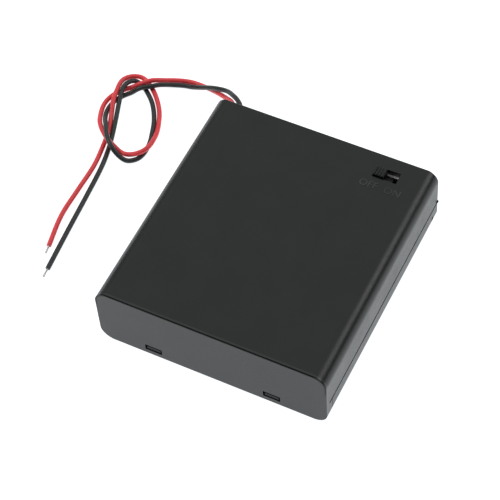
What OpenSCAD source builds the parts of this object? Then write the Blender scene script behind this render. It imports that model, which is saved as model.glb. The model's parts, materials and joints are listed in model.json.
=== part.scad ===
// Holder for four round cells laid side by side, lying on its sliding cover with the switch on top.
// X runs along the front wall, Y along the cells towards the leads, Z up. Millimetres.

/* [Housing] */
// Width across the four bays
box_w = 66; // [66:0.5:72]
// Length along the cells
box_l = 71; // [70:0.5:80]
// Height from the cover's outer face to the top
box_h = 20.5; // [20:0.5:24]
// Thickness of the top, front and back walls
wall = 1.8; // [1.4:0.1:2]
// Thickness of the side walls and of the cover's lips
side_wall = 1.6; // [1.2:0.1:1.8]
// Radius of the four long edges
edge_r = 4; // [2.5:0.5:5]
// Radius of the crease where the top meets the end faces
crease_r = 0.3; // [0.2:0.1:1.2]
// Height of the seam between housing and cover
seam_z = 7.8; // [7:0.1:9.5]
// Gap that shows along the seam
seam_gap = 0.25; // [0.1:0.05:0.5]
// Depth of the full-height block behind the front face
front_block = 3.3; // [3:0.1:4.5]
// How far the seam's relief slit runs on into the front block
slit_l = 1.7; // [0:0.1:2.2]

/* [Cells] */
// Diameter of one cell
cell_d = 14.5; // [14:0.1:14.5]
// Room between a cell and the top wall
cell_gap = 0.2; // [0.1:0.1:0.5]
// Height of the ribs between the bays
rib_h = 5; // [3:0.5:6]
// Thickness of the ribs at their free edge
rib_t = 1; // [0.6:0.1:1.2]
// Thickness of the wall between the bays and the switch room
bulkhead_t = 1.3; // [1:0.1:2]
// Depth of the room for the switch and the wiring
room_d = 7.3; // [6.5:0.1:8.5]

/* [Cover] */
// Thickness of the cover's plate
cover_t = 1.6; // [1.2:0.1:2]
// Thickness of the housing's tongue inside the cover's lips
tongue_t = 1.2; // [1:0.1:1.4]
// Sliding clearance between lip and tongue
slide_gap = 0.2; // [0.1:0.05:0.3]
// Height of the guide bead on the lips
bead_h = 1.2; // [0.8:0.1:1.6]
// How far the guide bead stands into the tongue's groove
bead_d = 0.55; // [0.3:0.05:0.6]
// Distance of the latch windows from the middle
window_x = 17.2; // [12:0.1:22]
// Width of a latch window
window_w = 4.9; // [4:0.1:8]
// Height of a latch window
window_h = 2.2; // [2:0.1:3.2]
// Height of the window's sill above the cover's outer face
sill_h = 1.6; // [1.2:0.1:1.8]
// Thickness of a latch tab
tab_t = 1; // [0.8:0.1:1.4]
// Clearance round a latch tab in its window
tab_gap = 0.45; // [0.1:0.05:0.5]
// Number of finger grooves under the cover
grip_count = 6; // [3:1:7]

/* [Switch] */
// Distance of the switch from the right side
switch_inset = 12.5; // [12:0.25:18]
// Length of the opening in the top
opening_l = 7; // [6.7:0.1:8]
// Width of the opening in the top
opening_w = 3.6; // [3.4:0.1:4.2]
// Length of the metal can
can_l = 10.4; // [10:0.1:12]
// Width of the metal can
can_w = 4.8; // [4.6:0.1:4.9]
// Height of the metal can
can_h = 4; // [3.8:0.1:4.6]
// Thickness of the can's sheet
can_t = 0.3; // [0.2:0.05:0.4]
// Travel of the knob
travel = 2.8; // [2:0.1:3]
// Length of the knob along its travel
knob_l = 2.4; // [2:0.1:2.9]
// Width of the knob
knob_w = 2.6; // [2.4:0.1:3.2]
// How far the knob stands above the top
knob_proud = 0.9; // [0.4:0.1:2]

/* [Contacts] */
// Thickness of the contact sheet
sheet_t = 0.4; // [0.3:0.05:0.5]
// Height of a contact plate
plate_h = 11; // [9:0.5:11]
// Height of the domed positive contact
nub_h = 1.2; // [0.8:0.1:1.5]
// Diameter of the spring wire
spring_wire = 0.7; // [0.5:0.05:0.8]
// Free length of a spring
spring_l = 8; // [6:0.5:9]
// Outer radius of a spring at its plate
spring_r1 = 4.4; // [3.5:0.1:4.8]
// Outer radius of a spring at its free end
spring_r2 = 2.8; // [2.2:0.1:3.5]
// Turns of a spring
spring_turns = 5; // [4:1:6]

/* [Leads] */
// Diameter of the insulated leads
lead_d = 1.35; // [1:0.05:1.35]
// Diameter of the tinned ends
tip_d = 0.6; // [0.4:0.05:0.7]
// Length of the tinned ends
tip_l = 2.6; // [2:0.2:6]

/* [Hidden] */
$fn = 48;

overlap = 0.5;      // fused pieces run into each other by this much
past = 1;           // what cuts a piece runs on past it by this much
fit = 0.05;         // clearance of a fixed fit
retainer_gap = 0.1; // room for a contact sheet behind its retainer
draft = 0.5;        // how much a rib widens to its root on each side

// Places shared by the pieces
front_y = -box_l / 2;
back_y = box_l / 2;
half_w = box_w / 2;
front_in_y = front_y + wall;
back_in_y = back_y - wall;
block_y = front_y + front_block;
cover_front_y = block_y + slide_gap;
bulkhead_y2 = back_in_y - room_d;
bulkhead_y1 = bulkhead_y2 - bulkhead_t;
roof_z = box_h - wall;
housing_seam_z = seam_z + seam_gap;
shelf_rise = 1.45;
shelf_z = housing_seam_z + shelf_rise;
tongue_x2 = half_w - side_wall - slide_gap;
tongue_x1 = tongue_x2 - tongue_t;
cell_pitch = tongue_x1 / 2; // four bays share the width inside the tongue
tongue_y2 = back_y - side_wall - slide_gap;
tongue_y1 = tongue_y2 - tongue_t;
tab_z = sill_h + tab_gap;
tongue_z = tab_z + tab_t + slide_gap;
ledge_t = sill_h - 0.1;
bulkhead_rise = 0.6;
bulkhead_z = sill_h + window_h + bulkhead_rise;
bead_drop = 2.5;
bead_z = seam_z - bead_drop;
groove_z1 = bead_z - bead_h / 2 - slide_gap;
groove_z2 = bead_z + bead_h / 2 + slide_gap;
groove_x1 = tongue_x2 - bead_d;
cell_z = roof_z - cell_gap - cell_d / 2;
bay_x = [for (i = [-1.5:1:1.5]) i * cell_pitch];

// Places of the switch
switch_x = half_w - switch_inset;
switch_y = (bulkhead_y2 + tongue_y1) / 2;
can_z = roof_z - can_h;
base_t = 1;
base_z = can_z + base_t;
knob_x = switch_x - travel / 2;
stem_inset = 0.2;
stem_l = knob_l - 2 * stem_inset;
stem_w = 2.2;
stem_gap = 0.1;
slider_end = 0.3;
slider_l = can_l - 2 * can_t - travel - 2 * slider_end;
slider_h = 1.65;
slider_z = roof_z - can_t - fit - slider_h;
ridge_h = 0.3;
pin_head_h = 0.3;
pin_head_r = 0.9;
pin_w = 1;
pin_t = 0.3;
pin_out = 2.4;
pin_end_z = can_z - pin_out;
pin_x = [switch_x - travel, switch_x, switch_x + travel];

// Places of the contacts and the wiring
terminal_w = 11;
bridge_w = cell_pitch + terminal_w;
plate_z = cell_z - plate_h / 2;
back_plate_y = bulkhead_y1 - sheet_t;
tail_w = 3;
tail_gap = 0.15;
tail_out = 3;
tail_z = bulkhead_z - tail_gap - sheet_t;
tail_y = bulkhead_y2 + tail_out;
joint_z = tail_z + sheet_t;
joint_r = 1.2;
retainer_t = 1;
retainer_w = 1.2;
retainer_lip = 0.8;
nub_r1 = 2.8;
nub_r2 = 1.8;
boss_h = 0.5;
boss_gap = 0.6;
solder_r = 0.9;
bore_gap = 0.15;
lead_z = 11;
lead_inset = 2.6;
lead_pitch = 2.2;
red_exit_x = lead_inset - half_w;
black_exit_x = red_exit_x + lead_pitch;
wire_r = lead_d / 2;

// Routes of the free leads, from the back face to the end of the insulation
red_route = [
    [-30.4, 35.5, 11], [-30.4, 38, 11], [-31.3, 40.8, 10.8], [-33.2, 43, 9.6], [-35.8, 45.1, 7.4],
    [-39.1, 47, 5.6], [-42.1, 48.9, 3.4], [-45.7, 50.5, 1.6], [-49.7, 51.2, 0.7], [-54.3, 50.2, 0.7],
    [-57.8, 48.4, 1.1], [-60.7, 45.9, 2.4], [-63.3, 43.7, 2.1], [-66.3, 41.8, 0.7], [-69.1, 38.2, 0.7],
    [-70.1, 34.1, 0.7], [-69.2, 30, 1], [-67.1, 26, 2], [-63.2, 22.3, 2.4], [-59.7, 20.4, 2.3],
    [-56.6, 19.9, 0.9], [-53, 20.3, 1.9], [-50.5, 22.9, 2.5], [-50.5, 27.9, 1.7], [-52, 32.9, 0.7],
    [-54.2, 37.7, 0.7], [-57.6, 42.1, 0.7], [-61.3, 45.3, 0.7], [-64.6, 46.8, 0.8], [-67.3, 45.4, 1.6],
    [-68.7, 42.4, 2.4], [-68.4, 38.6, 2.4], [-67.5, 34.8, 2.4], [-65.9, 30.1, 0.8], [-64.1, 25, 0.7],
    [-63, 19.9, 0.7], [-62, 12.8, 0.7], [-61.4, 4.1, 0.7], [-61.5, -6, 0.7], [-60, -16.6, 0.7]];
black_route = [
    [-28.2, 35.5, 11], [-28.2, 38, 11], [-29.2, 41, 11.6], [-30.8, 42.8, 11.3], [-33, 44.5, 10.4],
    [-36.4, 46.8, 8.4], [-40.5, 47.8, 6.5], [-43.8, 48.5, 4.5], [-47.2, 49.1, 2.3], [-50.7, 49.4, 0.7],
    [-54.8, 48.1, 0.8], [-57.9, 45.8, 1.9], [-60.2, 43.7, 2.4], [-62.8, 42, 2.1], [-65.3, 40.1, 0.7],
    [-67.6, 36.5, 0.7], [-68.2, 32.6, 0.7], [-67.1, 29, 1.5], [-64.7, 25.3, 3.2], [-62.4, 21.8, 3.9],
    [-59.7, 19.3, 3.4], [-56.7, 18.2, 1.4], [-53.8, 18.3, 0.7], [-51.5, 20.7, 0.7], [-51.2, 25.3, 0.7],
    [-52.5, 30.1, 0.7], [-54.2, 34.4, 0.7], [-57, 38.9, 0.7], [-60.3, 42.2, 0.7], [-63.6, 44.4, 0.7],
    [-65.8, 44.4, 1.4], [-67.1, 41.8, 2.3], [-66.8, 38.4, 2.4], [-65.8, 34.6, 1.4], [-64.3, 30, 0.7],
    [-62.6, 25, 0.7], [-61.1, 19.9, 0.7], [-59.8, 13.3, 0.7], [-58.8, 3.1, 0.7], [-57.8, -9, 0.7],
    [-56.5, -23.4, 0.7]];

// Routes of the wires inside, in steps of one turn
wire_in = 0.6;
turn = 0.8;
wire_y = bulkhead_y2 + 0.9;
wire_z = pin_end_z - 2.5 * turn;
red_inside_route = [
    [pin_x[2], switch_y, pin_end_z - wire_in],
    [pin_x[2] - turn / 2, switch_y - 1.5 * turn, wire_z + turn / 4],
    [pin_x[2] - 5 * turn, wire_y, wire_z], [0, wire_y, wire_z],
    [red_exit_x + 6 * turn, wire_y, lead_z + 2 * turn],
    [red_exit_x + turn, bulkhead_y2 + 2.5 * turn, lead_z + turn],
    [red_exit_x, back_in_y - 2 * turn, lead_z], [red_exit_x, back_y, lead_z]];
black_inside_route = [
    [bay_x[0], tail_y - joint_r, joint_z + wire_in],
    [bay_x[0] - turn / 2, tail_y - turn, joint_z + 4 * turn],
    [bay_x[0] - 2 * turn, tail_y, joint_z + 7 * turn], [black_exit_x, back_in_y - 2 * turn, lead_z],
    [black_exit_x, back_y, lead_z]];
jumper_route = [
    [bay_x[3], tail_y - joint_r, joint_z + wire_in],
    [bay_x[3] - turn / 2, tail_y - joint_r, joint_z + 3 * turn],
    [pin_x[1] + turn, switch_y, pin_end_z - 3 * turn], [pin_x[1] + turn / 4, switch_y, pin_end_z - wire_in]];

// Outlines and helpers

// A rectangle standing on y = 0 with rounded corners, r1 at the foot and r2 at the head
module rounded_outline(w, h, r1, r2) {
    for (s = [-1, 1]) {
        translate([s * (w / 2 - r1), r1]) circle(r1);
        translate([s * (w / 2 - r2), h - r2]) circle(r2);
    }
    translate([-w / 2 + r1, 0]) square([w - 2 * r1, r1]);
    translate([-w / 2 + r2, h - r2]) square([w - 2 * r2, r2]);
    translate([-w / 2, r1]) square([w, h - r1 - r2]);
}

// An XZ outline carried along Y
module along_y(y1, y2) {
    translate([0, y2, 0]) rotate([90, 0, 0]) linear_extrude(y2 - y1) children();
}

// A block given by its lowest and highest corners
module block(low, high) {
    translate(low) cube(high - low);
}

// A tube or wire through a list of rings of points
module skin(rings) {
    n = len(rings[0]);
    last = len(rings) - 1;
    points = [for (ring = rings) each ring];
    sides = [for (i = [0:last - 1], k = [0:n - 1]) let (a = i * n + k, b = i * n + (k + 1) % n)
        each [[a, b, b + n], [a, b + n, a + n]]];
    polyhedron(points, concat([[for (k = [n - 1:-1:0]) k]], sides, [[for (k = [0:n - 1]) last * n + k]]));
}

function unit(v) = v / norm(v);
function heading(p, i) = unit(p[min(i + 1, len(p) - 1)] - p[max(i - 1, 0)]);

// A ring of eight points square to the route at its point i
function route_ring(p, i, r) = let (t = heading(p, i), side = unit(cross(t, [0, 0, 1])), up = cross(side, t))
    [for (k = [7:-1:0]) p[i] + r * (cos(45 * k + 22.5) * side + sin(45 * k + 22.5) * up)];

module tube(route, r) {
    skin([for (i = [0:len(route) - 1]) route_ring(route, i, r)]);
}

// The housing

module housing_shape() {
    foot_r = 0.01;
    intersection() {
        along_y(front_y, back_y) rounded_outline(box_w, box_h, edge_r, edge_r);
        rotate([90, 0, 90]) linear_extrude(box_w + 2 * past, center = true)
            rounded_outline(box_l, box_h, foot_r, crease_r);
    }
}

// Hollow above the shelf, with the walls at their full thickness
module upper_hollow(y1, y2) {
    intersection() {
        along_y(y1, y2)
            rounded_outline(box_w - 2 * side_wall, roof_z, edge_r - side_wall, edge_r - side_wall);
        block([-half_w, y1, shelf_z - overlap], [half_w, y2, box_h]);
    }
}

module lower_hollow(y1, y2) {
    block([-tongue_x1, y1, ledge_t], [tongue_x1, y2, shelf_z]);
}

// All that the cover takes up, outside and below the tongue
module cover_room() {
    difference() {
        block([-half_w - past, block_y, -past], [half_w + past, back_y + past, housing_seam_z]);
        block([-tongue_x2, block_y - past, tongue_z], [tongue_x2, tongue_y2, housing_seam_z + past]);
    }
}

module guide_grooves() {
    for (s = [0, 1]) mirror([s, 0, 0])
        block([groove_x1, block_y, groove_z1], [tongue_x2 + past, back_y, groove_z2]);
}

module latch_windows() {
    for (s = [-1, 1])
        block([s * window_x - window_w / 2, front_y - past, sill_h],
            [s * window_x + window_w / 2, front_in_y + past, sill_h + window_h]);
}

module relief_slits() {
    for (s = [0, 1]) mirror([s, 0, 0])
        block([half_w - side_wall, block_y - slit_l, seam_z],
            [half_w + past, block_y + past, housing_seam_z]);
}

module switch_opening() {
    block([switch_x - opening_l / 2, switch_y - opening_w / 2, roof_z - past],
        [switch_x + opening_l / 2, switch_y + opening_w / 2, box_h + past]);
}

module lead_holes() {
    for (x = [red_exit_x, black_exit_x])
        translate([x, back_in_y - past, lead_z]) rotate([-90, 0, 0])
            cylinder(h = wall + 2 * past, r = wire_r + bore_gap);
}

module bay_ribs() {
    for (x = [-cell_pitch, 0, cell_pitch])
        translate([x, 0, 0]) along_y(front_in_y + sheet_t + retainer_gap, back_plate_y - retainer_gap)
            polygon([[-rib_t / 2, roof_z - rib_h], [rib_t / 2, roof_z - rib_h],
                [rib_t / 2 + draft, roof_z + overlap], [-rib_t / 2 - draft, roof_z + overlap]]);
}

// A post that holds one upright edge of a contact plate: wall_y is the wall's face, out points into the bay
module plate_retainer(edge_x, side, wall_y, out) {
    reach_y = wall_y + out * (sheet_t + retainer_gap + retainer_t);
    root_y = wall_y - out * overlap;
    slot_y = wall_y + out * (sheet_t + retainer_gap);
    near_x = edge_x + side * retainer_gap;
    far_x = near_x + side * retainer_w;
    lip_x = edge_x - side * retainer_lip;
    module span(x1, x2, y1, y2)
        block([min(x1, x2), min(y1, y2), plate_z], [max(x1, x2), max(y1, y2), roof_z + overlap]);
    span(near_x, far_x, root_y, reach_y);
    span(lip_x, far_x, slot_y, reach_y);
}

module plate_retainers() {
    for (x = [-cell_pitch, cell_pitch], s = [-1, 1])
        plate_retainer(x + s * bridge_w / 2, s, front_in_y, 1);
    for (s = [-1, 1]) plate_retainer(s * bridge_w / 2, s, bulkhead_y1, -1);
    for (x = [bay_x[0], bay_x[3]], s = [-1, 1])
        plate_retainer(x + s * terminal_w / 2, s, bulkhead_y1, -1);
}

// Two posts with small hooks that carry the switch's can
module switch_clips() {
    clip_x = can_l / 2 + fit;
    clip_t = 1.2;
    hook = 0.5;
    clip_z = can_z - 1;
    for (s = [0, 1]) translate([switch_x, 0, 0]) mirror([s, 0, 0]) {
        block([clip_x, bulkhead_y2 - overlap, clip_z],
            [clip_x + clip_t, switch_y + can_w / 2, roof_z + overlap]);
        block([clip_x - hook, bulkhead_y2 - overlap, clip_z],
            [clip_x + clip_t, switch_y + can_w / 2, can_z - fit]);
    }
}

module housing() {
    color([0.16, 0.17, 0.17]) difference() {
        union() {
            difference() {
                housing_shape();
                upper_hollow(front_in_y, bulkhead_y1);
                upper_hollow(bulkhead_y2, back_in_y);
                lower_hollow(front_in_y, bulkhead_y1);
                lower_hollow(bulkhead_y2, tongue_y1);
                block([-tongue_x1, bulkhead_y1 - past, ledge_t],
                    [tongue_x1, bulkhead_y2 + past, bulkhead_z]);
                cover_room();
            }
            bay_ribs();
            plate_retainers();
            switch_clips();
        }
        guide_grooves();
        latch_windows();
        relief_slits();
        switch_opening();
        lead_holes();
    }
}

// The sliding cover

module latch_tab() {
    root_l = 4;
    root_over = 1;
    tip_in = 0.15;
    block([-window_w / 2 + tab_gap, front_y + tip_in, tab_z],
        [window_w / 2 - tab_gap, cover_front_y + root_l, tab_z + tab_t]);
    block([-window_w / 2 - root_over, cover_front_y, cover_t - overlap],
        [window_w / 2 + root_over, cover_front_y + root_l, tab_z + tab_t]);
}

module finger_grooves() {
    grip_w = 22;
    grip_r = 0.5;
    grip_inset = 5;
    grip_pitch = 2;
    for (i = [0:grip_count - 1])
        translate([0, back_y - grip_inset - i * grip_pitch, 0]) rotate([0, 90, 0])
            cylinder(h = grip_w, r = grip_r, center = true);
}

// A shallow recess on the outside of each lip, near the back
module lip_recesses() {
    recess_w = 0.9;
    recess_d = 0.25;
    recess_y = back_y - 3.25;
    recess_z1 = edge_r - 0.8;
    recess_z2 = seam_z - 2.8;
    for (s = [0, 1]) mirror([s, 0, 0])
        block([half_w - recess_d, recess_y - recess_w / 2, recess_z1],
            [half_w + past, recess_y + recess_w / 2, recess_z2]);
}

module cover() {
    inner_r = edge_r - side_wall;
    stiffener_h = 0.5;
    color([0.19, 0.2, 0.2]) difference() {
        union() {
            difference() {
                along_y(cover_front_y, back_y) rounded_outline(box_w, box_h, edge_r, edge_r);
                along_y(cover_front_y - past, back_y - side_wall) translate([0, cover_t])
                    rounded_outline(box_w - 2 * side_wall, box_h, inner_r, inner_r);
                block([-half_w - past, cover_front_y - past, seam_z],
                    [half_w + past, back_y + past, box_h + past]);
            }
            for (s = [0, 1]) mirror([s, 0, 0])
                block([half_w - side_wall - bead_d, cover_front_y, bead_z - bead_h / 2],
                    [half_w - side_wall + overlap, back_y - overlap, bead_z + bead_h / 2]);
            for (x = [-cell_pitch, 0, cell_pitch])
                block([x - rib_t / 2, cover_front_y, cover_t - overlap],
                    [x + rib_t / 2, back_y - overlap, cover_t + stiffener_h]);
            for (s = [-1, 1]) translate([s * window_x, 0, 0]) latch_tab();
        }
        finger_grooves();
        lip_recesses();
    }
}

// The slide switch

module switch_can() {
    slot_gap = 0.75;
    slot_l = travel + stem_l + 2 * slot_gap;
    color([0.75, 0.75, 0.73]) translate([switch_x, switch_y, 0]) difference() {
        block([-can_l / 2, -can_w / 2, can_z], [can_l / 2, can_w / 2, roof_z]);
        block([-can_l / 2 + can_t, -can_w / 2 + can_t, can_z - past],
            [can_l / 2 - can_t, can_w / 2 - can_t, roof_z - can_t]);
        block([-slot_l / 2, -stem_w / 2 - stem_gap, roof_z - past],
            [slot_l / 2, stem_w / 2 + stem_gap, roof_z + past]);
    }
}

module switch_base() {
    base_l = can_l - 2 * can_t - 2 * fit;
    base_w = can_w - 2 * can_t - 2 * fit;
    color([0.45, 0.28, 0.14]) difference() {
        translate([switch_x, switch_y, 0])
            block([-base_l / 2, -base_w / 2, can_z], [base_l / 2, base_w / 2, base_z]);
        for (x = pin_x)
            translate([x, switch_y, 0])
                block([-pin_w / 2 - fit, -pin_t / 2 - fit, can_z - past],
                    [pin_w / 2 + fit, pin_t / 2 + fit, base_z + past]);
    }
}

module switch_pin(i) {
    color([0.82, 0.8, 0.72]) translate([pin_x[i], switch_y, 0]) {
        block([-pin_w / 2, -pin_t / 2, pin_end_z], [pin_w / 2, pin_t / 2, base_z + pin_head_h]);
        translate([0, 0, base_z]) cylinder(h = pin_head_h, r = pin_head_r);
    }
}
module switch_pin_1() switch_pin(0);
module switch_pin_2() switch_pin(1);
module switch_pin_3() switch_pin(2);

module switch_knob() {
    head_z = roof_z + fit;
    slider_w = can_w - 2 * can_t - 2 * stem_gap;
    color([0.1, 0.1, 0.1]) translate([knob_x, switch_y, 0]) {
        block([-slider_l / 2, -slider_w / 2, slider_z], [slider_l / 2, slider_w / 2, slider_z + slider_h]);
        block([-stem_l / 2, -stem_w / 2, slider_z], [stem_l / 2, stem_w / 2, head_z + overlap]);
        block([-knob_l / 2, -knob_w / 2, head_z], [knob_l / 2, knob_w / 2, box_h + knob_proud - ridge_h]);
        for (x = [-1, 0, 1])
            translate([x * (knob_l / 2 - ridge_h), 0, box_h + knob_proud - ridge_h])
                rotate([90, 0, 0]) cylinder(h = knob_w, r = ridge_h, center = true);
    }
}

// The sliding contact under the knob, which joins two neighbouring pins
module switch_wiper() {
    strip_t = 0.15;
    strip_w = 1.2;
    strip_over = 0.6;
    strip_z = slider_z - fit - strip_t;
    dome_r = strip_z - base_z - pin_head_h - fit;
    color([0.8, 0.78, 0.7]) translate([knob_x, switch_y, 0]) difference() {
        union() {
            block([-travel / 2 - strip_over, -strip_w / 2, strip_z],
                [travel / 2 + strip_over, strip_w / 2, strip_z + strip_t]);
            for (s = [-1, 1]) translate([s * travel / 2, 0, strip_z]) rotate([90, 0, 0])
                cylinder(h = strip_w, r = dome_r, center = true);
        }
        block([-slider_l, -strip_w, strip_z + strip_t], [slider_l, strip_w, slider_z + past]);
    }
}

// The battery contacts

// A plate across w, against a wall's face at y, facing out = 1 or -1
module contact_plate(x, w, y) {
    block([x - w / 2, y, plate_z], [x + w / 2, y + sheet_t, plate_z + plate_h]);
}

module nub(x, y, out) {
    translate([x, y, cell_z]) rotate([-90 * out, 0, 0]) cylinder(h = nub_h, r1 = nub_r1, r2 = nub_r2);
}

module spring_boss(x, y, out) {
    translate([x, y, cell_z]) rotate([-90 * out, 0, 0])
        cylinder(h = boss_h, r = spring_r1 - spring_wire - boss_gap);
}

module front_bridge(x) {
    face_y = front_in_y + sheet_t;
    color([0.78, 0.78, 0.76]) {
        contact_plate(x, bridge_w, front_in_y);
        nub(x - cell_pitch / 2, face_y - fit, 1);
        spring_boss(x + cell_pitch / 2, face_y - fit, 1);
    }
}
module bridge_front_left() front_bridge(-cell_pitch);
module bridge_front_right() front_bridge(cell_pitch);

module bridge_back() {
    color([0.78, 0.78, 0.76]) {
        contact_plate(0, bridge_w, back_plate_y);
        nub(bay_x[1], back_plate_y + fit, -1);
        spring_boss(bay_x[2], back_plate_y + fit, -1);
    }
}

// A single plate whose tail bends under the bulkhead into the switch room
module terminal(x) {
    color([0.78, 0.78, 0.76]) {
        contact_plate(x, terminal_w, back_plate_y);
        block([x - tail_w / 2, back_plate_y, tail_z], [x + tail_w / 2, back_plate_y + sheet_t, plate_z + 1]);
        block([x - tail_w / 2, back_plate_y, tail_z], [x + tail_w / 2, tail_y, tail_z + sheet_t]);
    }
}
module terminal_minus() {
    terminal(bay_x[0]);
    color([0.78, 0.78, 0.76]) spring_boss(bay_x[0], back_plate_y + fit, -1);
}
module terminal_plus() {
    terminal(bay_x[3]);
    color([0.78, 0.78, 0.76]) nub(bay_x[3], back_plate_y + fit, -1);
}

// A conical spring from a plate's face at y, growing towards out
module spring(x, y, out) {
    steps = spring_turns * 12;
    r = spring_wire / 2;
    seat_gap = 0.02;
    rise = spring_l - spring_wire;
    function along(s) = r + seat_gap + rise * lookup(s, [[0, 0], [0.2, 0.1], [0.9, 0.95], [1, 1]]);
    function reach(s) = spring_r1 - r + (spring_r2 - spring_r1) * s;
    rings = [for (i = [0:steps]) let (s = i / steps, a = 30 * i, radial = [cos(a), 0, sin(a)])
        [for (k = [0:4]) [x, y + out * along(s), cell_z] + (reach(s) + r * cos(72 * k)) * radial
            + [0, out * r * sin(72 * k), 0]]];
    color([0.8, 0.8, 0.78]) skin(out > 0 ? rings : [for (ring = rings) [for (k = [4:-1:0]) ring[k]]]);
}
module spring_1() spring(bay_x[0], back_plate_y, -1);
module spring_2() spring(bay_x[1], front_in_y + sheet_t, 1);
module spring_3() spring(bay_x[2], back_plate_y, -1);
module spring_4() spring(bay_x[3], front_in_y + sheet_t, 1);

// The wiring inside

module wire_jumper() color([0.75, 0.12, 0.14]) tube(jumper_route, wire_r);
module wire_red_inside() color([0.75, 0.12, 0.14]) tube(red_inside_route, wire_r);
module wire_black_inside() color([0.12, 0.13, 0.13]) tube(black_inside_route, wire_r);

module solder(at) {
    color([0.7, 0.7, 0.72]) translate(at) sphere(solder_r);
}
module tail_solder(x) {
    color([0.7, 0.7, 0.72]) intersection() {
        translate([x, tail_y - joint_r, joint_z]) sphere(joint_r);
        block([x - tail_w / 2, tail_y - tail_w, joint_z], [x + tail_w / 2, tail_y, joint_z + tail_w]);
    }
}
module solder_minus() tail_solder(bay_x[0]);
module solder_plus() tail_solder(bay_x[3]);
module solder_pin_2() solder([pin_x[1], switch_y, pin_end_z]);
module solder_pin_3() solder([pin_x[2], switch_y, pin_end_z]);

// The free leads and their tinned ends

module lead_tip(route, bead) {
    end = route[len(route) - 1];
    way = unit(end - route[len(route) - 2]);
    bead_r = 0.42;
    color([0.72, 0.72, 0.7]) translate(end) rotate([0, 90, atan2(way.y, way.x)]) {
        cylinder(h = tip_l, r = tip_d / 2);
        if (bead) translate([0, 0, tip_l - bead_r / 2]) sphere(bead_r);
    }
}

module red_lead() color([0.82, 0.2, 0.22]) tube(red_route, wire_r);
module black_lead() color([0.15, 0.16, 0.16]) tube(black_route, wire_r);
module red_lead_tip() lead_tip(red_route, false);
module black_lead_tip() lead_tip(black_route, true);

housing();
cover();
switch_can();
switch_base();
switch_pin_1();
switch_pin_2();
switch_pin_3();
switch_knob();
switch_wiper();
bridge_front_left();
bridge_front_right();
bridge_back();
terminal_minus();
terminal_plus();
spring_1();
spring_2();
spring_3();
spring_4();
wire_jumper();
wire_red_inside();
wire_black_inside();
solder_minus();
solder_plus();
solder_pin_2();
solder_pin_3();
red_lead();
black_lead();
red_lead_tip();
black_lead_tip();
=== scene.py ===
import json
import math

import bpy
from mathutils import Matrix, Vector


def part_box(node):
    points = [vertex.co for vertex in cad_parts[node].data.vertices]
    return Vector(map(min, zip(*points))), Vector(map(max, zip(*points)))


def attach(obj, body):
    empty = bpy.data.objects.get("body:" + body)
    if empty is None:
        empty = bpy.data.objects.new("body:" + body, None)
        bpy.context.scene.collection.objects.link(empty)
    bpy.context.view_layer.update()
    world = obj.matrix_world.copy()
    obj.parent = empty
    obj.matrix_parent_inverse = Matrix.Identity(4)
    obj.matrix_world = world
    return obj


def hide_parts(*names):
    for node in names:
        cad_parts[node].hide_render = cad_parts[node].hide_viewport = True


# Sizes and places are in mm and angles in degrees, unless a name says otherwise.
MM = 0.001

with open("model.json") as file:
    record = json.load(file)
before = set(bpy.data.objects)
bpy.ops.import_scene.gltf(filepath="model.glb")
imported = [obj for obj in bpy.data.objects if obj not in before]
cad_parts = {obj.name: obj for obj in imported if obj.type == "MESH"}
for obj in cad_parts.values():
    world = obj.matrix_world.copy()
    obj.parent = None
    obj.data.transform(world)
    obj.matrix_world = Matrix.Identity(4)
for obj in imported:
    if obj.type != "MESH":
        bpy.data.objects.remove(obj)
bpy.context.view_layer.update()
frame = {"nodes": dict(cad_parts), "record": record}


# ---------------------------------------------------------------- helpers

def deselect_all():
    if bpy.context.object and bpy.context.object.mode != "OBJECT":
        bpy.ops.object.mode_set(mode="OBJECT")
    bpy.ops.object.select_all(action="DESELECT")


def pick(piece):
    deselect_all()
    piece.select_set(True)
    bpy.context.view_layer.objects.active = piece


def settle(piece, name):
    """Puts the piece's place and turn into its mesh and gives it its name."""
    pick(piece)
    bpy.ops.object.transform_apply(location=True, rotation=True, scale=True)
    piece.name = name
    piece.data.name = name
    return piece


def apply_modifiers(piece):
    pick(piece)
    for modifier in list(piece.modifiers):
        bpy.ops.object.modifier_apply(modifier=modifier.name)


def face_outwards(piece):
    """Merges doubled points and turns every face outwards."""
    pick(piece)
    bpy.ops.object.mode_set(mode="EDIT")
    bpy.ops.mesh.select_all(action="SELECT")
    bpy.ops.mesh.remove_doubles(threshold=1e-6)
    bpy.ops.mesh.normals_make_consistent(inside=False)
    bpy.ops.object.mode_set(mode="OBJECT")


def joined(pieces, name):
    deselect_all()
    for piece in pieces:
        piece.select_set(True)
    bpy.context.view_layer.objects.active = pieces[0]
    bpy.ops.object.join()
    return settle(bpy.context.object, name)


def smooth_up_to(piece, angle):
    pick(piece)
    bpy.ops.object.shade_smooth_by_angle(angle=math.radians(angle))


def coat(piece, finish):
    """Gives a new piece one finish all over."""
    piece.data.materials.clear()
    piece.data.materials.append(finish)


# ---------------------------------------------------------------- camera, light and floor

VIEW_AZIMUTH, VIEW_ELEVATION, VIEW_ROLL = 30.368, 54.823, -5.065
VIEW_CENTRE = Vector((0, 0, 10))
VIEW_BACK, VIEW_RIGHT, VIEW_UP = 522.61, -5.418, 1.211
LENS, SENSOR = 141.57, 36

SKY_TINT = (0.95, 1, 0.98, 1)
SKY_LEAN = (-0.15, 0.45, 0.8)        # the side that the sky is brightest towards
SKY_DIM_UP_TO, SKY_DIM = 0.4, 0.1
SKY_BRIGHT_FROM, SKY_BRIGHT = 0.85, 0.88

FLOOR_SIZE_M = 6
FLOOR_DROP = 0.1


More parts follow.
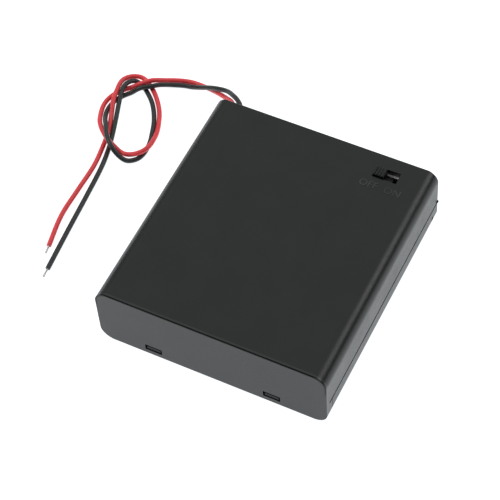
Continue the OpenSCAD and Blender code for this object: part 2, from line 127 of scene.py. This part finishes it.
def set_camera():
    azimuth, elevation, roll = (math.radians(a) for a in (VIEW_AZIMUTH, VIEW_ELEVATION, VIEW_ROLL))
    back = Vector((math.sin(azimuth) * math.cos(elevation),
                   -math.cos(azimuth) * math.cos(elevation), math.sin(elevation)))
    level = Vector((math.cos(azimuth), math.sin(azimuth), 0))
    rise = back.cross(level)
    right = math.cos(roll) * level + math.sin(roll) * rise
    up = math.cos(roll) * rise - math.sin(roll) * level
    place = VIEW_CENTRE + VIEW_BACK * back + VIEW_RIGHT * right + VIEW_UP * up
    deselect_all()
    bpy.ops.object.camera_add()
    camera = bpy.context.object
    camera.name = "camera"
    turn = Matrix((right, up, back)).transposed().to_4x4()
    camera.matrix_world = Matrix.Translation(place * MM) @ turn
    camera.data.lens = LENS
    camera.data.sensor_width = SENSOR
    camera.data.clip_start = 0.01
    bpy.context.scene.camera = camera


def soft_panel(name, place, aim, side, power):
    """A square soft light; its place, aim and side are in metres and its power in watts."""
    bpy.ops.object.light_add(type="AREA", location=place)
    lamp = bpy.context.object
    lamp.name = name
    lamp.data.shape = "RECTANGLE"
    lamp.data.size = lamp.data.size_y = side
    lamp.data.energy = power
    lamp.rotation_euler = (Vector(aim) - Vector(place)).to_track_quat("-Z", "Y").to_euler()


def light_studio():
    """A sky that fades away from its bright side, a panel for the right edge and one for the leads."""
    scene = bpy.context.scene
    scene.view_settings.view_transform = "Standard"
    scene.view_settings.look = "None"
    world = bpy.data.worlds.new("studio")
    scene.world = world
    world.use_nodes = True
    nodes, links = world.node_tree.nodes, world.node_tree.links
    sky = nodes["Background"]
    sky.inputs["Color"].default_value = SKY_TINT
    spread = nodes.new("ShaderNodeTexCoord")
    lean = nodes.new("ShaderNodeVectorMath")
    lean.operation = "DOT_PRODUCT"
    lean.inputs[1].default_value = SKY_LEAN
    fall = nodes.new("ShaderNodeMapRange")
    fall.inputs["From Min"].default_value = SKY_DIM_UP_TO
    fall.inputs["From Max"].default_value = SKY_BRIGHT_FROM
    fall.inputs["To Min"].default_value = SKY_DIM
    fall.inputs["To Max"].default_value = SKY_BRIGHT
    links.new(spread.outputs["Generated"], lean.inputs[0])
    links.new(lean.outputs["Value"], fall.inputs["Value"])
    links.new(fall.outputs["Result"], sky.inputs["Strength"])
    soft_panel("streak_panel", (0.64, 0.5, 0.58), (0, 0, 0.01), 0.4, 1.5)
    soft_panel("key_panel", (-0.6, -0.2, 0.77), (-0.04, 0, 0.01), 0.3, 2.2)


def lay_floor():
    """White paper that is lit evenly from edge to edge."""
    deselect_all()
    bpy.ops.mesh.primitive_plane_add(size=FLOOR_SIZE_M, location=(0, 0, -FLOOR_DROP * MM))
    floor = bpy.context.object
    floor.name = "floor"
    paper = bpy.data.materials.new("white_paper")
    paper.use_nodes = True
    shader = paper.node_tree.nodes["Principled BSDF"]
    shader.inputs["Base Color"].default_value = (0.5, 0.5, 0.5, 1)
    shader.inputs["Roughness"].default_value = 0.9
    shader.inputs["Specular IOR Level"].default_value = 0.2
    shader.inputs["Emission Color"].default_value = (0.93, 0.965, 1, 1)
    shader.inputs["Emission Strength"].default_value = 0.97
    floor.data.materials.append(paper)


# ---------------------------------------------------------------- finishes

class Finish:
    """A material under construction: its nodes, and short ways to add and join them."""

    def __init__(self, name):
        self.name = name
        self.material = bpy.data.materials.new(name)
        self.material.use_nodes = True
        self.tree = self.material.node_tree
        self.shader = self.tree.nodes["Principled BSDF"]
        self.place = self.tree.nodes.new("ShaderNodeTexCoord").outputs["Object"]

    def set(self, **values):
        for key, value in values.items():
            self.shader.inputs[key.replace("_", " ")].default_value = value

    def link(self, out, into):
        self.tree.links.new(out, into)

    def stretched(self, scale):
        node = self.tree.nodes.new("ShaderNodeMapping")
        node.inputs["Scale"].default_value = scale
        self.link(self.place, node.inputs["Vector"])
        return node.outputs["Vector"]

    def noise(self, size_mm, detail=2.0, rough=0.5, where=None):
        node = self.tree.nodes.new("ShaderNodeTexNoise")
        node.inputs["Scale"].default_value = 1000 / size_mm
        node.inputs["Detail"].default_value = detail
        node.inputs["Roughness"].default_value = rough
        self.link(where or self.place, node.inputs["Vector"])
        return node.outputs["Fac"]

    def span(self, value, low, high, to_low, to_high):
        node = self.tree.nodes.new("ShaderNodeMapRange")
        node.inputs["From Min"].default_value = low
        node.inputs["From Max"].default_value = high
        node.inputs["To Min"].default_value = to_low
        node.inputs["To Max"].default_value = to_high
        self.link(value, node.inputs["Value"])
        return node.outputs["Result"]

    def math(self, kind, a, b):
        node = self.tree.nodes.new("ShaderNodeMath")
        node.operation = kind
        for i, value in enumerate((a, b)):
            if isinstance(value, (int, float)):
                node.inputs[i].default_value = value
            else:
                self.link(value, node.inputs[i])
        return node.outputs[0]

    def apart(self, value, from_place):
        """How far a coordinate is from a place, on either side."""
        return self.math("ABSOLUTE", self.math("SUBTRACT", value, from_place), 0)

    def beyond(self, value, start):
        """How far a coordinate is past a place, or 0 before it."""
        return self.math("MAXIMUM", self.math("SUBTRACT", value, start), 0)

    def blend(self, factor, a, b):
        node = self.tree.nodes.new("ShaderNodeMix")
        node.data_type = "RGBA"
        node.inputs[6].default_value = (*a, 1)
        node.inputs[7].default_value = (*b, 1)
        self.link(factor, node.inputs["Factor"])
        return node.outputs[2]

    def colour(self, out):
        self.link(out, self.shader.inputs["Base Color"])

    def roughness(self, out):
        self.link(out, self.shader.inputs["Roughness"])

    def relief(self, heights):
        """Bumps in one chain: each entry is a height, its depth in mm and its strength."""
        normal = None
        for height, depth_mm, strength in heights:
            node = self.tree.nodes.new("ShaderNodeBump")
            node.inputs["Distance"].default_value = depth_mm * MM
            node.inputs["Strength"].default_value = strength
            self.link(height, node.inputs["Height"])
            if normal is not None:
                self.link(normal, node.inputs["Normal"])
            normal = node.outputs["Normal"]
        self.link(normal, self.shader.inputs["Normal"])


PLASTIC_SHINE = 0.4


def moulded_plastic(name, dark, light, gloss_low, gloss_high, grain_mm=0.4, depth_mm=0.04):
    """Black moulded plastic with the fine sparked texture of a tool."""
    f = Finish(name)
    f.set(Specular_IOR_Level=PLASTIC_SHINE)
    cloud = f.noise(9, 3)
    f.colour(f.blend(f.span(cloud, 0.35, 0.65, 0, 1), dark, light))
    grain = f.noise(grain_mm, 3, 0.6)
    f.roughness(f.math("ADD", f.span(cloud, 0.3, 0.7, gloss_low, gloss_high),
                       f.span(grain, 0.3, 0.7, -0.04, 0.04)))
    f.relief([(grain, depth_mm, 0.5), (f.noise(3.5, 1), 0.02, 0.12)])
    return f


FRONT_Y = -35.5                      # the front face
EDGE_R = 4                           # radius of the long top edges
EDGE_X, EDGE_Z = 29, 16.5            # centres of those radii, left and right alike
# Painted shade on a rim along the front crease, and a painted highlight on a line just behind it.
RIM_W, RIM_FADE, RIM_SHINE = 0.55, 0.15, 0.35
BEHIND_Y, BEHIND_FADE = 0.25, 0.1    # where the rim ends, back from the front face
GLINT_Y, GLINT_W, GLINT_FADE, GLINT_GAIN = 0.6, 0.15, 0.15, 0.5
# Painted shade: a dark line along the seam, and darker latch tabs inside their windows.
SEAM_Z, SEAM_W, SEAM_FADE = 7.93, 0.32, 0.14
SEAM_Y, SEAM_START_FADE = -33.9, 0.1  # the seam runs from here to the back
TAB_Y, TAB_FADE, TAB_SHINE = -33, 0.2, 0.12


def painted_crease_shade(f, place):
    """Painted shade and a painted highlight at the front crease: the share of the shine that stays, less
    on a rim along the rounded outline of the front face, and more on a line just behind it."""
    past_x = f.beyond(f.math("ABSOLUTE", place["X"], 0), EDGE_X * MM)
    past_z = f.beyond(place["Z"], EDGE_Z * MM)
    squares = f.math("ADD", f.math("MULTIPLY", past_x, past_x), f.math("MULTIPLY", past_z, past_z))
    reach = f.math("POWER", squares, 0.5)
    # Painted shade: less shine on a rim along the crease.
    rim = f.span(reach, (EDGE_R - RIM_W) * MM, (EDGE_R - RIM_W + RIM_FADE) * MM, 1, RIM_SHINE)
    behind = f.span(place["Y"], (FRONT_Y + BEHIND_Y) * MM, (FRONT_Y + BEHIND_Y + BEHIND_FADE) * MM, 0, 1)
    # Painted highlight: more shine on a line just behind the crease.
    from_painted_glint = f.apart(place["Y"], (FRONT_Y + GLINT_Y) * MM)
    painted_glint = f.span(from_painted_glint, GLINT_W * MM, (GLINT_W + GLINT_FADE) * MM, GLINT_GAIN, 0)
    below = f.span(place["Z"], (EDGE_Z - EDGE_R) * MM, EDGE_Z * MM, 1, 0)
    return f.math("MAXIMUM", f.math("MAXIMUM", rim, f.math("ADD", behind, painted_glint)), below)


def with_painted_shade(f, crease=False, tabs=False):
    """Painted shade: less shine where shade falls, along the seam, at the front crease, and on the latch
    tabs inside their windows."""
    split = f.tree.nodes.new("ShaderNodeSeparateXYZ")
    f.link(f.place, split.inputs[0])
    place = split.outputs
    # Painted shade: less shine in a band along the seam.
    from_seam = f.apart(place["Z"], SEAM_Z * MM)
    shine = f.span(from_seam, SEAM_W * MM, (SEAM_W + SEAM_FADE) * MM, 0, PLASTIC_SHINE)
    in_front = f.span(place["Y"], SEAM_Y * MM, (SEAM_Y + SEAM_START_FADE) * MM, PLASTIC_SHINE, 0)
    shine = f.math("MAXIMUM", shine, in_front)
    if crease:
        shine = f.math("MULTIPLY", shine, painted_crease_shade(f, place))
    # Painted shade: less shine on the latch tabs inside their windows.
    if tabs:
        on_tab = f.span(place["Y"], TAB_Y * MM, (TAB_Y + TAB_FADE) * MM, TAB_SHINE, PLASTIC_SHINE)
        shine = f.math("MINIMUM", shine, on_tab)
    f.link(shine, f.shader.inputs["Specular IOR Level"])
    return f


def plated_metal(name, light, dark, gloss, brush=(1, 1, 1), brush_mm=0.6, grain_depth=0.008):
    """Plated sheet or wire, brushed along the axis with the smallest of the three stretches."""
    f = Finish(name)
    f.set(Metallic=1.0)
    streak = f.noise(brush_mm, 3, 0.6, f.stretched(brush))
    f.colour(f.blend(f.span(streak, 0.3, 0.7, 0, 1), dark, light))
    f.roughness(f.span(f.noise(1.5, 2), 0.3, 0.7, gloss - 0.06, gloss + 0.08))
    f.relief([(streak, grain_depth, 0.4)])
    return f


def vinyl(name, base, shade):
    """Soft wire insulation, with the faint ripple and bloom of extruded vinyl."""
    f = Finish(name)
    f.set(Specular_IOR_Level=0.5)
    bloom = f.noise(2.2, 3)
    f.colour(f.blend(f.span(bloom, 0.3, 0.7, 0, 1), base, shade))
    f.roughness(f.span(f.noise(0.8, 2), 0.3, 0.7, 0.34, 0.48))
    f.relief([(f.noise(0.5, 2), 0.015, 0.35)])
    return f


def board(name):
    """Laminated board with paper fibres."""
    f = Finish(name)
    fibre = f.noise(0.5, 4, 0.6, f.stretched((1, 4, 1)))
    f.colour(f.blend(f.span(fibre, 0.3, 0.7, 0, 1), (0.012, 0.01, 0.008), (0.025, 0.02, 0.016)))
    f.roughness(f.span(fibre, 0.3, 0.7, 0.5, 0.65))
    f.relief([(fibre, 0.01, 0.4)])
    return f


BLACK = (0.003, 0.0036, 0.0034), (0.006, 0.0072, 0.0067), 0.3, 0.36
KNOB_BLACK = (0.004, 0.004, 0.0045), (0.006, 0.006, 0.007), 0.42, 0.5
LETTER_GREY = (0.03, 0.032, 0.032), (0.075, 0.077, 0.077), 0.5, 0.6
LIGHT_NICKEL = (0.86, 0.85, 0.84), (0.7, 0.69, 0.68), 0.5
BRASS = (0.78, 0.72, 0.6), (0.6, 0.54, 0.42), 0.3
NICKEL_SHEET = (0.74, 0.74, 0.72), (0.58, 0.58, 0.57), 0.28
SPRING_STEEL = (0.76, 0.76, 0.75), (0.6, 0.6, 0.6), 0.2
SOLDER = (0.68, 0.69, 0.71), (0.5, 0.51, 0.53), 0.3
TINNED = (0.85, 0.84, 0.82), (0.6, 0.59, 0.57), 0.5
ALONG_X, ALONG_X_SOFT, ALONG_Z, NO_BRUSH = (1, 8, 8), (1, 6, 6), (6, 6, 1), (1, 1, 1)

FINISHES = {f.name: f.material for f in (
    with_painted_shade(moulded_plastic("case_plastic", *BLACK), crease=True),
    with_painted_shade(moulded_plastic("cover_plastic", *BLACK), tabs=True),
    moulded_plastic("knob_plastic", *KNOB_BLACK),
    moulded_plastic("lettering", *LETTER_GREY, grain_mm=0.3, depth_mm=0.06),
    plated_metal("switch_can_metal", *LIGHT_NICKEL, ALONG_X),
    board("switch_base_board"),
    plated_metal("switch_pin_metal", *BRASS, ALONG_Z),
    plated_metal("contact_sheet", *NICKEL_SHEET, ALONG_X_SOFT),
    plated_metal("spring_wire", *SPRING_STEEL, NO_BRUSH, brush_mm=0.3),
    plated_metal("solder", *SOLDER, NO_BRUSH, brush_mm=0.8, grain_depth=0.03),
    plated_metal("tinned_copper", *TINNED, NO_BRUSH, brush_mm=0.25, grain_depth=0.02),
    vinyl("red_insulation", (0.95, 0.065, 0.078), (0.87, 0.052, 0.065)),
    vinyl("black_insulation", (0.02, 0.023, 0.023), (0.028, 0.031, 0.031)),
)}


def dress_nodes():
    """Every carried-over node takes the finish of its slot."""
    slots = {s["node"]: s["material_slot"] for s in frame["record"]["subparts"]}
    for node, piece in frame["nodes"].items():
        finish = FINISHES[slots[node]]
        if not piece.data.materials:
            piece.data.materials.append(finish)
        for i in range(len(piece.data.materials)):
            piece.data.materials[i] = finish


# ---------------------------------------------------------------- leads

RED_ROUTE = [
    (-30.4, 35.5, 11), (-30.4, 38, 11), (-31.3, 40.8, 10.8), (-33.2, 43, 9.6), (-35.8, 45.1, 7.4),
    (-39.1, 47, 5.6), (-42.1, 48.9, 3.4), (-45.7, 50.5, 1.6), (-49.7, 51.2, 0.7), (-54.3, 50.2, 0.7),
    (-57.8, 48.4, 1.1), (-60.7, 45.9, 2.4), (-63.3, 43.7, 2.1), (-66.3, 41.8, 0.7), (-69.1, 38.2, 0.7),
    (-70.1, 34.1, 0.7), (-69.2, 30, 1), (-67.1, 26, 2), (-63.2, 22.3, 2.4), (-59.7, 20.4, 2.3),
    (-56.6, 19.9, 0.9), (-53, 20.3, 1.9), (-50.5, 22.9, 2.5), (-50.5, 27.9, 1.7), (-52, 32.9, 0.7),
    (-54.2, 37.7, 0.7), (-57.6, 42.1, 0.7), (-61.3, 45.3, 0.7), (-64.6, 46.8, 0.8), (-67.3, 45.4, 1.6),
    (-68.7, 42.4, 2.4), (-68.4, 38.6, 2.4), (-67.5, 34.8, 2.4), (-65.9, 30.1, 0.8), (-64.1, 25, 0.7),
    (-63, 19.9, 0.7), (-62, 12.8, 0.7), (-62, 3.8, 0.7), (-61.9, -6.2, 0.7), (-60, -16.6, 0.7)]
BLACK_ROUTE = [
    (-28.2, 35.5, 11), (-28.2, 38, 11), (-29.2, 41, 11.6), (-30.8, 42.8, 11.3), (-33, 44.5, 10.4),
    (-36.4, 46.8, 8.4), (-40.5, 47.8, 6.5), (-43.8, 48.5, 4.5), (-47.2, 49.1, 2.3), (-50.7, 49.4, 0.7),
    (-54.8, 48.1, 0.8), (-57.9, 45.8, 1.9), (-60.2, 43.7, 2.4), (-62.8, 42, 2.1), (-65.3, 40.1, 0.7),
    (-67.6, 36.5, 0.7), (-68.2, 32.6, 0.7), (-67.1, 29, 1.5), (-64.7, 25.3, 3.2), (-62.4, 21.8, 3.9),
    (-59.7, 19.3, 3.4), (-56.7, 18.2, 1.4), (-53.8, 18.3, 0.7), (-51.5, 20.7, 0.7), (-51.2, 25.3, 0.7),
    (-52.5, 30.1, 0.7), (-54.2, 34.4, 0.7), (-57, 38.9, 0.7), (-60.3, 42.2, 0.7), (-63.6, 44.4, 0.7),
    (-65.8, 44.4, 1.4), (-67.1, 41.8, 2.3), (-66.8, 38.4, 2.4), (-65.8, 34.6, 1.4), (-64.3, 30, 0.7),
    (-62.6, 25, 0.7), (-61.1, 19.9, 0.7), (-59.8, 13.3, 0.7), (-58.8, 3.1, 0.7), (-57.8, -9, 0.7),
    (-56.5, -23.4, 0.7)]
LEAD_D = 1.42
LOW_PLACE = 0.75                     # a place on a route below this height lies on the table
TIP_L = 2.6
STRAND_R, STRAND_RING, STRAND_STEPS = 0.11, 0.19, 14
OUTER_STRANDS = 6
STRAND_TWIST = 250
BEAD_R, BEAD_FLATTENED = 0.4, 0.85
SMOOTH_UP_TO = 40


def lead(name, route, finish):
    """An insulated lead: a round tube along its route, level where it lies on the table."""
    curve = bpy.data.curves.new(name, "CURVE")
    curve.dimensions = "3D"
    curve.bevel_depth = LEAD_D / 2 * MM
    curve.bevel_resolution = 4
    curve.resolution_u = 8
    curve.use_fill_caps = True
    spline = curve.splines.new("BEZIER")
    spline.bezier_points.add(len(route) - 1)
    places = [Vector(place) for place in route]
    lowest = LEAD_D / 2
    for i, (knot, place) in enumerate(zip(spline.bezier_points, places)):
        before, after = places[max(i - 1, 0)], places[min(i + 1, len(places) - 1)]
        way = (after - before).normalized()
        if place.z < LOW_PLACE:
            way.z = 0
        place.z = max(place.z, lowest)
        knot.co = place * MM
        knot.handle_left_type = knot.handle_right_type = "FREE"
        knot.handle_left = (place - way * (place - before).length / 3) * MM
        knot.handle_right = (place + way * (after - place).length / 3) * MM
    curve.materials.append(finish)
    piece = bpy.data.objects.new(name, curve)
    bpy.context.collection.objects.link(piece)
    return piece


def strand(x, y):
    """One copper strand standing on the origin's plane, drawn up ring by ring."""
    bpy.ops.mesh.primitive_circle_add(vertices=8, radius=STRAND_R * MM, fill_type="NGON",
                                      location=(x * MM, y * MM, 0))
    bpy.ops.object.mode_set(mode="EDIT")
    bpy.ops.mesh.select_all(action="SELECT")
    for _ in range(STRAND_STEPS):
        bpy.ops.mesh.extrude_region_move(
            TRANSFORM_OT_translate={"value": (0, 0, TIP_L * MM / STRAND_STEPS)})
    bpy.ops.object.mode_set(mode="OBJECT")
    return bpy.context.object


def tinned_end(name, route, beaded):
    """The bared end of a lead: seven strands twisted together and tinned."""
    deselect_all()
    strands = [strand(0, 0)]
    for k in range(OUTER_STRANDS):
        angle = math.radians(360 / OUTER_STRANDS * k)
        strands.append(strand(STRAND_RING * math.cos(angle), STRAND_RING * math.sin(angle)))
    bundle = joined(strands, name)
    twist = bundle.modifiers.new("twist", "SIMPLE_DEFORM")
    twist.deform_method = "TWIST"
    twist.deform_axis = "Z"
    twist.angle = math.radians(STRAND_TWIST)
    apply_modifiers(bundle)
    if beaded:
        deselect_all()
        bpy.ops.mesh.primitive_ico_sphere_add(subdivisions=3, radius=BEAD_R * MM,
                                              location=(0, 0, TIP_L * MM))
        bead = bpy.context.object
        bead.scale = (1, 1, BEAD_FLATTENED)
        bundle = joined([bundle, bead], name)
    face_outwards(bundle)
    end, before = Vector(route[-1]), Vector(route[-2])
    turn = (end - before).normalized().to_track_quat("Z", "X").to_matrix().to_4x4()
    bundle.matrix_world = Matrix.Translation(end * MM) @ turn
    bundle = settle(bundle, name)
    smooth_up_to(bundle, SMOOTH_UP_TO)
    coat(bundle, FINISHES["tinned_copper"])
    return bundle


def run_leads():
    for colour, route, beaded in (("red", RED_ROUTE, False), ("black", BLACK_ROUTE, True)):
        wire = lead(f"{colour}_wire", route, FINISHES[f"{colour}_insulation"])
        end = tinned_end(f"{colour}_wire_end", route, beaded)
        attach(wire, "holder")
        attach(end, "holder")
        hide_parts(f"{colour}_lead")
        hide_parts(f"{colour}_lead_tip")


# ---------------------------------------------------------------- words, knob and nib

LETTER_H, LETTER_PROUD, LETTER_EDGE = 3.0, 0.06, 0.02
OFF_X, OFF_Y = 17.3, 24.75
ON_X, ON_Y = 24.25, 24.65

# The knob's blocks at OFF: lowest corner, highest corner, and how far their edges are softened.
KNOB_HEAD = (17.1, 27.95, 18.9), (20.3, 30.95, 21.15), 0.15
KNOB_STEM = (18.1, 28.35, 18.2), (20.1, 30.55, 19), 0.05
KNOB_SLIDER = (15.9, 27.45, 16.7), (22.3, 31.45, 18.35), 0.1
FIRST_RIB = (17.32, 28.05, 20.8), (17.68, 30.85, 21.4), 0.1
RIBS, RIB_PITCH = 4, 0.8

NIB_R, NIB_SHAPE = 0.5, (0.8, 1.1, 0.7)
NIB_PLACE = (32.95, 35.35, 8.2)


def raised_word(word, name, place):
    """A short moulded word that stands a little proud of the top."""
    deselect_all()
    bpy.ops.object.text_add()
    text = bpy.context.object
    text.data.body = word
    text.data.size = LETTER_H * MM
    text.data.align_x = "CENTER"
    text.data.align_y = "CENTER"
    text.data.extrude = LETTER_PROUD * MM
    text.data.bevel_depth = LETTER_EDGE * MM
    text.data.resolution_u = 3
    bpy.ops.object.convert(target="MESH")
    piece = bpy.context.object
    piece.matrix_world = Matrix.Translation(Vector(place) * MM)
    piece = settle(piece, name)
    face_outwards(piece)
    coat(piece, FINISHES["lettering"])
    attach(piece, "holder")


def mark_switch():
    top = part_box("housing")[1][2] / MM
    raised_word("OFF", "off_mark", (OFF_X, OFF_Y, top))
    raised_word("ON", "on_mark", (ON_X, ON_Y, top))


def block(name, low, high, edge):
    """A block between two corners, with softened edges."""
    low, high = Vector(low), Vector(high)
    deselect_all()
    bpy.ops.mesh.primitive_cube_add(size=1, location=(low + high) / 2 * MM)
    piece = bpy.context.object
    piece.scale = (high - low) * MM
    piece = settle(piece, name)
    soften = piece.modifiers.new("soften", "BEVEL")
    soften.width = edge * MM
    soften.segments = 2
    apply_modifiers(piece)
    return piece


def switch_knob():
    """The knob: a slider plate, a stem and a head with four ribs across its travel."""
    low, high, edge = FIRST_RIB
    ribs = []
    for k in range(RIBS):
        along = Vector((RIB_PITCH * k, 0, 0))
        ribs.append(block(f"knob_rib_{k + 1}", Vector(low) + along, Vector(high) + along, edge))
    body = [block("knob_head", *KNOB_HEAD), block("knob_stem", *KNOB_STEM),
            block("knob_slider", *KNOB_SLIDER)]
    knob = joined(body + ribs, "switch_knob_dressed")
    smooth_up_to(knob, SMOOTH_UP_TO)
    coat(knob, FINISHES["knob_plastic"])
    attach(knob, "switch_slider")
    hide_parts("switch_knob")


def gate_nib():
    """The small nib left by the mould at the rear right end of the seam."""
    deselect_all()
    bpy.ops.mesh.primitive_uv_sphere_add(segments=16, ring_count=10, radius=NIB_R * MM)
    nib = bpy.context.object
    nib.scale = NIB_SHAPE
    nib.location = Vector(NIB_PLACE) * MM
    nib = settle(nib, "gate_nib")
    bpy.ops.object.shade_smooth()
    coat(nib, FINISHES["case_plastic"])
    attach(nib, "holder")


# ---------------------------------------------------------------- the whole

set_camera()
run_leads()
light_studio()
lay_floor()
dress_nodes()
mark_switch()
switch_knob()
gate_nib()
